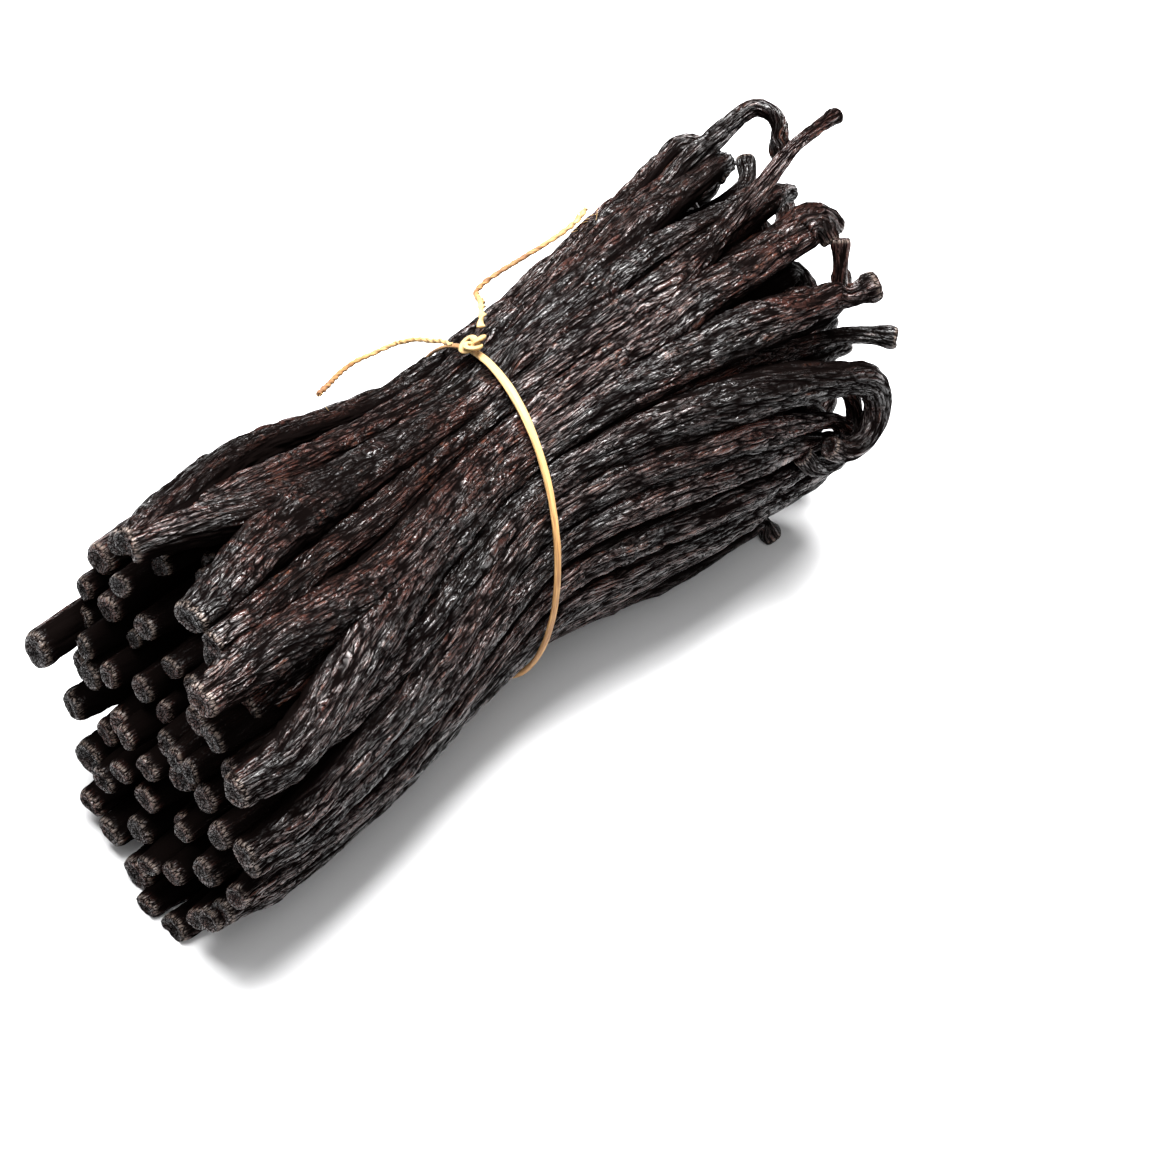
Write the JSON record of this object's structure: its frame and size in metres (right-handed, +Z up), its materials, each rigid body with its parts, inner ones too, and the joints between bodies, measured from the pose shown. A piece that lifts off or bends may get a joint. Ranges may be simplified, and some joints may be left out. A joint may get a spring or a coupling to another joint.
{
  "type": "vanilla pod bundle",
  "caption": "Thick bundle of long, thin, cured vanilla pods lying on its side, drawn in at the middle by a strand of raffia with an overhand knot and two loose tails.",
  "frame": {"origin": "on the table, under the middle of the box of the bundle with its tie and knot", "axes": "+X runs along the bundle from the blunt blossom ends to the thin, hooked stem ends; the front, where the loose tails lie, faces -Y; +Z is up"},
  "size_m": [0.1802, 0.067, 0.074],
  "materials": {
    "pods": "oily, near-black brown pod skin, finely wrinkled lengthwise, with reddish patches",
    "raffia": "dry straw-coloured palm fibre, finely grooved along its length"
  },
  "bodies": {
    "root": {"pod_bundle": "pods", "raffia_tie": "raffia", "raffia_knot": "raffia", "raffia_tail_left": "raffia", "raffia_tail_right": "raffia"}
  },
  "joints": []
}
